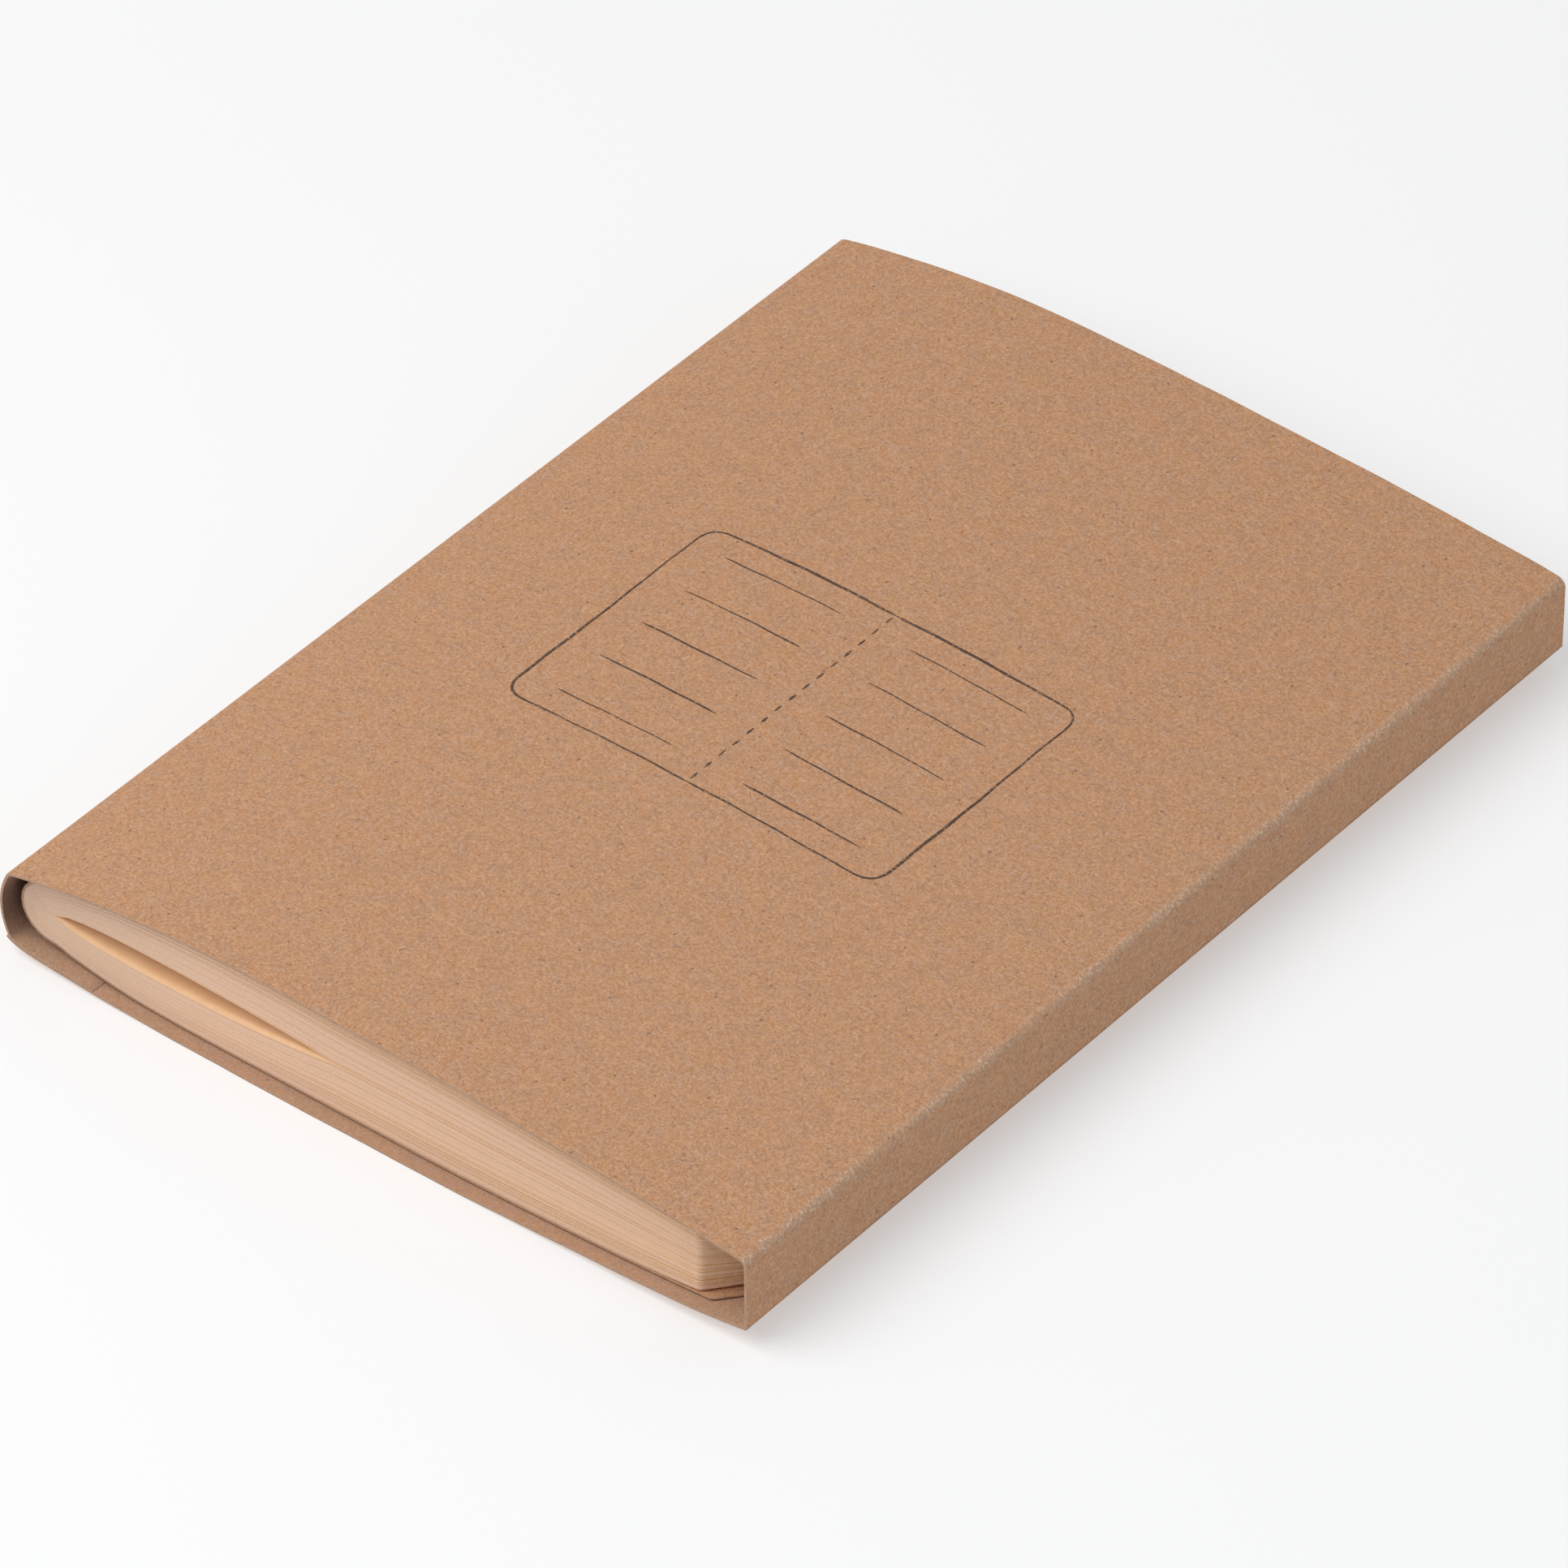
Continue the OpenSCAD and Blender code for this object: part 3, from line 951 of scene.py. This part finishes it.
def tube_mesh(name, strands, thickness, material):
    """Mesh of round strands. Each strand is a list of points with a relative thickness."""
    curve = bpy.data.curves.new(name, "CURVE")
    curve.dimensions = "3D"
    curve.bevel_depth = thickness / 2
    curve.bevel_resolution = 1
    curve.use_fill_caps = True
    for strand in strands:
        spline = curve.splines.new("POLY")
        spline.points.add(len(strand) - 1)
        for target, (point, weight) in zip(spline.points, strand):
            target.co = (*point, 1.0)
            target.radius = weight
    maker = add_object(name, curve)
    depsgraph = bpy.context.evaluated_depsgraph_get()
    mesh = bpy.data.meshes.new_from_object(maker.evaluated_get(depsgraph))
    bpy.data.objects.remove(maker)
    bpy.data.curves.remove(curve)
    mesh.name = name
    mesh.materials.clear()
    mesh.materials.append(material)
    mesh.shade_smooth()
    return add_object(name, mesh)


def twisted_strands(route, thread, twist):
    """Two plies twisted round a route that lies in a level plane."""
    strands = []
    flat = lengths_along(route)
    for ply in (0, math.pi):
        strand = []
        for i, point in enumerate(route):
            ahead = route[min(i + 1, len(route) - 1)] - route[max(i - 1, 0)]
            across = Vector((-ahead.y, ahead.x, 0)).normalized()
            angle = 2 * math.pi * flat[i] / twist + ply
            offset = across * math.cos(angle) + Vector((0, 0, 1)) * math.sin(angle)
            strand.append((point + offset * thread / 4, 1.0))
        strands.append(strand)
    return strands


# ---- the printed pictogram ----

PAGE_WIDTH = 27 * MM
PAGE_HALF_HEIGHT = 19 * MM
PAGE_CORNER = 3 * MM
PAGE_MARGIN = 5 * MM
RULED_LINES = 5
FOLD_DASHES = 15
DASH_LENGTH = 1.3 * MM
PEN_STEP = 0.35 * MM
INK_FILM = 0.03 * MM
PEN_WIDTH = 0.4 * MM


def pen_stroke(corners, radius, weight, seed):
    """Pen stroke through corners, with rounded turns and an uneven line."""
    centre = Vector((SLEEVE_WIDTH / 2, SLEEVE_LENGTH / 2, 0))
    route = [centre + Vector((x, y, 0)) for x, y in corners]
    points = even_steps(rounded_route(route, radius, 8), PEN_STEP)
    draw = random.Random(seed)
    phase = draw.uniform(0, 2 * math.pi)
    strand = []
    for i, point in enumerate(points):
        wander = 0.06 * MM * math.sin(i * 0.09 + phase) + 0.03 * MM * math.sin(i * 0.31 + 2 * phase)
        press = 0.8 + 0.2 * math.sin(i * 0.05 + phase) + draw.uniform(-0.12, 0.12)
        ends = min(1.0, 0.35 + 0.2 * min(i, len(points) - 1 - i))
        strand.append((point + Vector((wander, -wander, 0)), weight * press * ends))
    return strand


def pictogram_strokes():
    """Plain pictogram of an open book seen from straight above: two ruled pages and a fold."""
    strokes = []
    for side in (-1, 1):
        outer = side * PAGE_WIDTH
        outline = [
            (0, -PAGE_HALF_HEIGHT), (outer, -PAGE_HALF_HEIGHT),
            (outer, PAGE_HALF_HEIGHT), (0, PAGE_HALF_HEIGHT),
        ]
        strokes.append(pen_stroke(outline, PAGE_CORNER, 1.0, 10 + side))
        for i in range(RULED_LINES):
            share = (i + 0.5) / RULED_LINES
            y = lerp(-PAGE_HALF_HEIGHT, PAGE_HALF_HEIGHT, share)
            line = [(side * PAGE_MARGIN, y), (outer - side * PAGE_MARGIN, y)]
            strokes.append(pen_stroke(line, PAGE_CORNER, 0.75, 20 + 2 * i + side))
    for i in range(FOLD_DASHES):
        start = lerp(-PAGE_HALF_HEIGHT, PAGE_HALF_HEIGHT, (i + 0.25) / FOLD_DASHES)
        dash = [(0, start), (0, start + DASH_LENGTH)]
        strokes.append(pen_stroke(dash, PAGE_CORNER, 1.3, 40 + i))
    return strokes


def print_on_card(piece, film):
    """Flattens the strokes into a film of ink on the bowed top panel."""
    for v in piece.data.vertices:
        x, y, z = v.co
        ground = top_z(x) + card_wave(x, y)
        v.co = Vector((SPINE_X + x, TAIL_Y + y, ground + film * (0.4 + 0.6 * z / (PEN_WIDTH / 2))))


# ---- sizes and colours that a user can change ----


def length_property(name, description, default, low, high):
    """A length that a user can change."""
    return bpy.props.FloatProperty(
        name=name, description=description, default=default, min=low, max=high,
        unit="LENGTH", precision=5,
    )


class NotebookSizes(bpy.types.PropertyGroup):
    """Thicknesses and fineness of the notebook's pieces"""

    card: length_property(
        "Sleeve card", "Thickness of the sleeve's card", SLEEVE_CARD, 0.1 * MM, 0.35 * MM,
    )
    cover: length_property(
        "Cover", "Thickness of the booklet's cover", COVER_CARD, 0.1 * MM, 0.3 * MM,
    )
    bulk: bpy.props.FloatProperty(
        name="Bulk", description="Share of the spacing between leaves that paper fills",
        default=0.93, min=0.4, max=0.96, subtype="FACTOR",
    )
    thread: length_property(
        "Thread", "Thickness of the sewing thread", THREAD_WIDTH, 0.2 * MM, 0.5 * MM,
    )
    pen: length_property(
        "Pen", "Width of the printed lines", PEN_WIDTH, 0.1 * MM, 0.6 * MM,
    )
    sleeve_rows: bpy.props.IntProperty(
        name="Sleeve rows", description="Rows of faces along the sleeve",
        default=60, min=8, max=200,
    )


def colour_property(name, description, default):
    """A colour that a user can change."""
    return bpy.props.FloatVectorProperty(
        name=name, description=description, subtype="COLOR", size=3,
        default=default, min=0.0, max=1.0,
    )


class NotebookLook(bpy.types.PropertyGroup):
    """Colours of the notebook's finishes"""

    kraft: colour_property("Kraft", "Base colour of the card", (0.545, 0.292, 0.156))
    kraft_grey: colour_property("Grey kraft", "Greyer patches of the card", (0.470, 0.268, 0.168))
    kraft_warm: colour_property("Warm kraft", "Warmer patches of the card", (0.575, 0.292, 0.142))
    kraft_deep: colour_property("Deep kraft", "Between the fibres", (0.36, 0.175, 0.085))
    dark_fibre: colour_property("Dark fibre", "Bark fibres in the card", (0.185, 0.10, 0.065))
    pale_fibre: colour_property("Pale fibre", "Bleached fibres in the card", (0.73, 0.50, 0.36))
    # Specks in the card, and the painted shade at the spine wall's inner face.
    speck_and_wall_shade: colour_property("Speck", "Specks in the card", (0.17, 0.10, 0.075))
    # Painted shade: the card's inner face is tinted toward this grey.
    inside: colour_property("Inside", "Grey of the card's inner face", (0.34, 0.245, 0.185))
    fold_band: colour_property("Rubbed", "Card where a fold is worn", (0.68, 0.42, 0.27))
    torn: colour_property("Torn", "Torn fibres along a fold", (0.85, 0.63, 0.47))
    # Painted shade: the cut edges take this colour, darker than the card's face; the pale torn fibres
    # are the edge's own.
    shaded_cut_card: colour_property("Cut card", "Cut edge of the card", (0.33, 0.195, 0.125))
    cut_card_pale: colour_property("Pale cut card", "Torn fibres on a cut edge", (0.44, 0.29, 0.20))
    cover: colour_property("Cover", "Tint of the booklet's cover", (0.78, 0.60, 0.50))
    paper: colour_property("Paper", "Face of the leaves", (0.82, 0.545, 0.325))
    paper_deep: colour_property("Deep paper", "Cloudy patches of the leaves", (0.79, 0.505, 0.285))
    trimmed: colour_property("Trimmed paper", "Trimmed edges of the leaves", (0.765, 0.53, 0.40))
    # Also the painted shade on the leaves' cut-off corners.
    trimmed_deep: colour_property("Deep trimmed paper", "Darker leaf edges", (0.53, 0.295, 0.14))
    # Painted shade on the leaf edges near the spine.
    trimmed_spine_shade: colour_property("Grey trimmed paper", "Edges near the spine", (0.50, 0.40, 0.33))
    trimmed_pale: colour_property("Pale trimmed paper", "Paper dust on the edges", (0.82, 0.62, 0.50))
    ink: colour_property("Ink", "Ink of the pictogram", (0.085, 0.055, 0.042))
    ink_faded: colour_property("Faded ink", "Ink where it is thin", (0.16, 0.10, 0.07))
    thread: colour_property("Thread", "Sewing thread", (0.74, 0.67, 0.52))
    thread_deep: colour_property("Deep thread", "Between the thread's strands", (0.52, 0.44, 0.31))
    floor: colour_property("Floor", "Studio floor", (0.55, 0.55, 0.55))


class NotebookStage(bpy.types.PropertyGroup):
    """Camera and lights"""

    azimuth: bpy.props.FloatProperty(
        name="Azimuth", description="Camera's turn round the notebook",
        default=math.radians(38.93), subtype="ANGLE",
    )
    elevation: bpy.props.FloatProperty(
        name="Elevation", description="Camera's height angle",
        default=math.radians(39.67), subtype="ANGLE",
    )
    roll: bpy.props.FloatProperty(
        name="Roll", description="Camera's roll", default=math.radians(-0.29), subtype="ANGLE",
    )
    distance: bpy.props.FloatProperty(
        name="Distance", description="From the camera to its target", default=1.4023, unit="LENGTH",
    )
    target: bpy.props.FloatVectorProperty(
        name="Target", description="Point that the camera looks at",
        default=(2.68 * MM, -4.86 * MM, 7.8 * MM), subtype="TRANSLATION", precision=5,
    )
    lens: bpy.props.FloatProperty(
        name="Lens", description="Focal length on a 36 mm sensor", default=283.1, unit="CAMERA",
    )
    sky: bpy.props.FloatProperty(
        name="Sky", description="Strength of the even light from all sides", default=0.46, min=0,
    )
    key: bpy.props.FloatProperty(
        name="Key light", description="Power of the wide light overhead",
        default=11.2, min=0, unit="POWER",
    )
    fill: bpy.props.FloatProperty(
        name="Fill light", description="Power of the cool low light before the fore-edge",
        default=1.0, min=0, unit="POWER",
    )


# ---- studio ----

WHITE = (1.0, 1.0, 1.0)
COOL_BLUE = (0.5, 0.75, 1.0)
KEY_PLACE = (-0.38, -0.62, 0.94)
KEY_SIZE = 1.1
FILL_PLACE = (1.0, -0.15, 0.45)
FILL_SIZE = 0.6
FLOOR_RADIUS = 4.0
FLOOR_DROP = 0.02 * MM
FLOOR_GLOW = 0.72
FLOOR_SHADE = 0.985


# ---- operators ----


class NOTEBOOK_OT_sleeve(bpy.types.Operator):
    """Fold the card sleeve"""

    bl_idname = "notebook.sleeve"
    bl_label = "Card Sleeve"

    def execute(self, context):
        sizes, look = context.scene.notebook_sizes, context.scene.notebook_look
        points, sharp_fold, worn_fold = sleeve_path()
        flat = lengths_along(points)
        wall = min(range(len(points)), key=lambda i: abs(points[i][1] - WALL_MIDDLE) + points[i][0])
        materials = [
            kraft_card("kraft_card", look, flat[worn_fold], flat[sharp_fold]),
            torn_fibre_edge("kraft_cut_edge", look.shaded_cut_card, look.cut_card_pale),
            kraft_card("kraft_card_inside", look, flat[worn_fold], flat[sharp_fold], flat[wall]),
        ]
        piece = folded_sleeve(sizes, materials)
        place_piece(piece, "card_sleeve", "sleeve_card", "sleeve")
        return {"FINISHED"}


class NOTEBOOK_OT_pictogram(bpy.types.Operator):
    """Print a plain pictogram on the top panel"""

    bl_idname = "notebook.pictogram"
    bl_label = "Printed Pictogram"

    def execute(self, context):
        sizes, look = context.scene.notebook_sizes, context.scene.notebook_look
        piece = tube_mesh("printed_pictogram", pictogram_strokes(), sizes.pen, pictogram_ink(look))
        print_on_card(piece, INK_FILM)
        place_piece(piece, "card_sleeve", "sleeve_card")
        return {"FINISHED"}


class NOTEBOOK_OT_cover(bpy.types.Operator):
    """Fold the booklet's cover"""

    bl_idname = "notebook.cover"
    bl_label = "Booklet Cover"

    def execute(self, context):
        sizes, look = context.scene.notebook_sizes, context.scene.notebook_look
        edge = torn_fibre_edge("cover_cut_edge", look.shaded_cut_card, look.cut_card_pale)
        bm = flat_folio(COVER_CORNER)
        fold_folio(bm, lambda u, y: cover_point(u, sizes.cover))
        piece = finish_mesh("kraft_cover", bm, [cover_kraft(look), edge])
        give_thickness(piece, THICKEST, 0)
        place_piece(piece, "booklet", "cover_card", "booklet_cover")
        return {"FINISHED"}


class NOTEBOOK_OT_sheets(bpy.types.Operator):
    """Fold and nest the sheets of paper"""

    bl_idname = "notebook.sheets"
    bl_label = "Folded Sheets"

    def execute(self, context):
        sizes, look = context.scene.notebook_sizes, context.scene.notebook_look
        materials = [cream_paper(look), trimmed_paper(look)]
        flat = flat_folio(LEAF_CORNER)
        for number, sheet_node in enumerate(SHEET_NODES, 1):
            piece = folded_sheet(flat, number, sizes, materials)
            place_piece(piece, "booklet", "paper", sheet_node)
        flat.free()
        return {"FINISHED"}


class NOTEBOOK_OT_thread(bpy.types.Operator):
    """Sew the sheets through the fold"""

    bl_idname = "notebook.thread"
    bl_label = "Sewing Thread"

    def execute(self, context):
        sizes, look = context.scene.notebook_sizes, context.scene.notebook_look
        strands = twisted_strands(stitch_route(sizes.thread), sizes.thread, PLY_TWIST)
        piece = tube_mesh("linen_thread", strands, sizes.thread / 2, linen_thread(look))
        place_piece(piece, "booklet", "thread", "sewing_thread")
        return {"FINISHED"}


class NOTEBOOK_OT_stage(bpy.types.Operator):
    """Set the floor, the studio light and the camera"""

    bl_idname = "notebook.stage"
    bl_label = "Stage"

    def execute(self, context):
        scene, stage = context.scene, context.scene.notebook_stage
        add_floor(scene.notebook_look)
        add_sky(stage)
        add_light("key_light", KEY_PLACE, KEY_SIZE, stage.key, WHITE)
        add_light("fill_light", FILL_PLACE, FILL_SIZE, stage.fill, COOL_BLUE)
        add_camera(stage)
        scene.view_settings.view_transform = "Standard"
        return {"FINISHED"}


def add_floor(look):
    """Plain pale floor just under the notebook."""
    bm = bmesh.new()
    bmesh.ops.create_circle(bm, cap_ends=True, segments=96, radius=FLOOR_RADIUS)
    bmesh.ops.translate(bm, vec=(0, 0, -FLOOR_DROP), verts=bm.verts)
    material, tree, shader = new_material("studio_floor", 0.9, 0.1)
    place = solid_place(tree)
    shade = [FLOOR_SHADE * part for part in look.floor]
    colour = tinted(tree, rgba(look.floor), ramp(tree, noise(tree, place, 3, 3), 0.3, 0.7), shade)
    tree.links.new(colour, shader.inputs["Base Color"])
    shader.inputs["Emission Color"].default_value = rgba(look.floor)
    shader.inputs["Emission Strength"].default_value = FLOOR_GLOW
    finish_mesh("studio_floor", bm, [material])


def add_sky(stage):
    """Even pale light from all sides."""
    world = bpy.data.worlds.new("studio_sky")
    world.use_nodes = True
    background = world.node_tree.nodes["Background"]
    background.inputs["Color"].default_value = rgba(WHITE)
    background.inputs["Strength"].default_value = stage.sky
    bpy.context.scene.world = world


def add_light(name, place, size, power, colour):
    """Round soft light that faces the notebook."""
    light = bpy.data.lights.new(name, "AREA")
    light.shape = "DISK"
    light.size = size
    light.energy = power
    light.color = colour
    lamp = add_object(name, light)
    lamp.location = place
    lamp.rotation_euler = Vector(place).to_track_quat("Z", "Y").to_euler()


def add_camera(stage):
    """Camera at a distance from its target, in the direction of its azimuth and elevation."""
    back = Vector((
        math.sin(stage.azimuth) * math.cos(stage.elevation),
        -math.cos(stage.azimuth) * math.cos(stage.elevation),
        math.sin(stage.elevation),
    ))
    right = (-back).cross(Vector((0, 0, 1))).normalized()
    up = right.cross(-back)
    turned_right = math.cos(stage.roll) * right + math.sin(stage.roll) * up
    turned_up = math.cos(stage.roll) * up - math.sin(stage.roll) * right
    turn = Matrix((turned_right, turned_up, back)).transposed()
    data = bpy.data.cameras.new("camera")
    data.sensor_width = 36
    data.lens = stage.lens
    data.clip_start = 0.05
    data.clip_end = 20
    camera = add_object("camera", data)
    place = Vector(stage.target) + back * stage.distance
    camera.matrix_world = Matrix.Translation(place) @ turn.to_4x4()
    bpy.context.scene.camera = camera


class NOTEBOOK_PT_panel(bpy.types.Panel):
    """Pieces, sizes and colours of the notebook"""

    bl_label = "Notebook"
    bl_idname = "NOTEBOOK_PT_panel"
    bl_space_type = "VIEW_3D"
    bl_region_type = "UI"
    bl_category = "Notebook"

    def draw(self, context):
        layout = self.layout
        for operator in OPERATORS:
            layout.operator(operator.bl_idname)
        for group_name in GROUPS:
            group = getattr(context.scene, group_name)
            box = layout.box()
            for name in group.bl_rna.properties.keys():
                if name not in ("rna_type", "name"):
                    box.prop(group, name)


OPERATORS = (
    NOTEBOOK_OT_stage, NOTEBOOK_OT_sleeve, NOTEBOOK_OT_pictogram, NOTEBOOK_OT_cover,
    NOTEBOOK_OT_sheets, NOTEBOOK_OT_thread,
)
GROUPS = {
    "notebook_sizes": NotebookSizes,
    "notebook_look": NotebookLook,
    "notebook_stage": NotebookStage,
}


def register():
    """Registers the property groups, the operators and the panel."""
    for name, group in GROUPS.items():
        bpy.utils.register_class(group)
        setattr(bpy.types.Scene, name, bpy.props.PointerProperty(type=group))
    for shown in (*OPERATORS, NOTEBOOK_PT_panel):
        bpy.utils.register_class(shown)


def unregister():
    """Takes back everything that register did."""
    for shown in (NOTEBOOK_PT_panel, *reversed(OPERATORS)):
        bpy.utils.unregister_class(shown)
    for name, group in reversed(GROUPS.items()):
        delattr(bpy.types.Scene, name)
        bpy.utils.unregister_class(group)


def main():
    """Builds the stage and every piece in order."""
    register()
    bpy.ops.notebook.stage()
    bpy.ops.notebook.sleeve()
    bpy.ops.notebook.pictogram()
    bpy.ops.notebook.cover()
    bpy.ops.notebook.sheets()
    bpy.ops.notebook.thread()


if __name__ == "__main__":
    main()
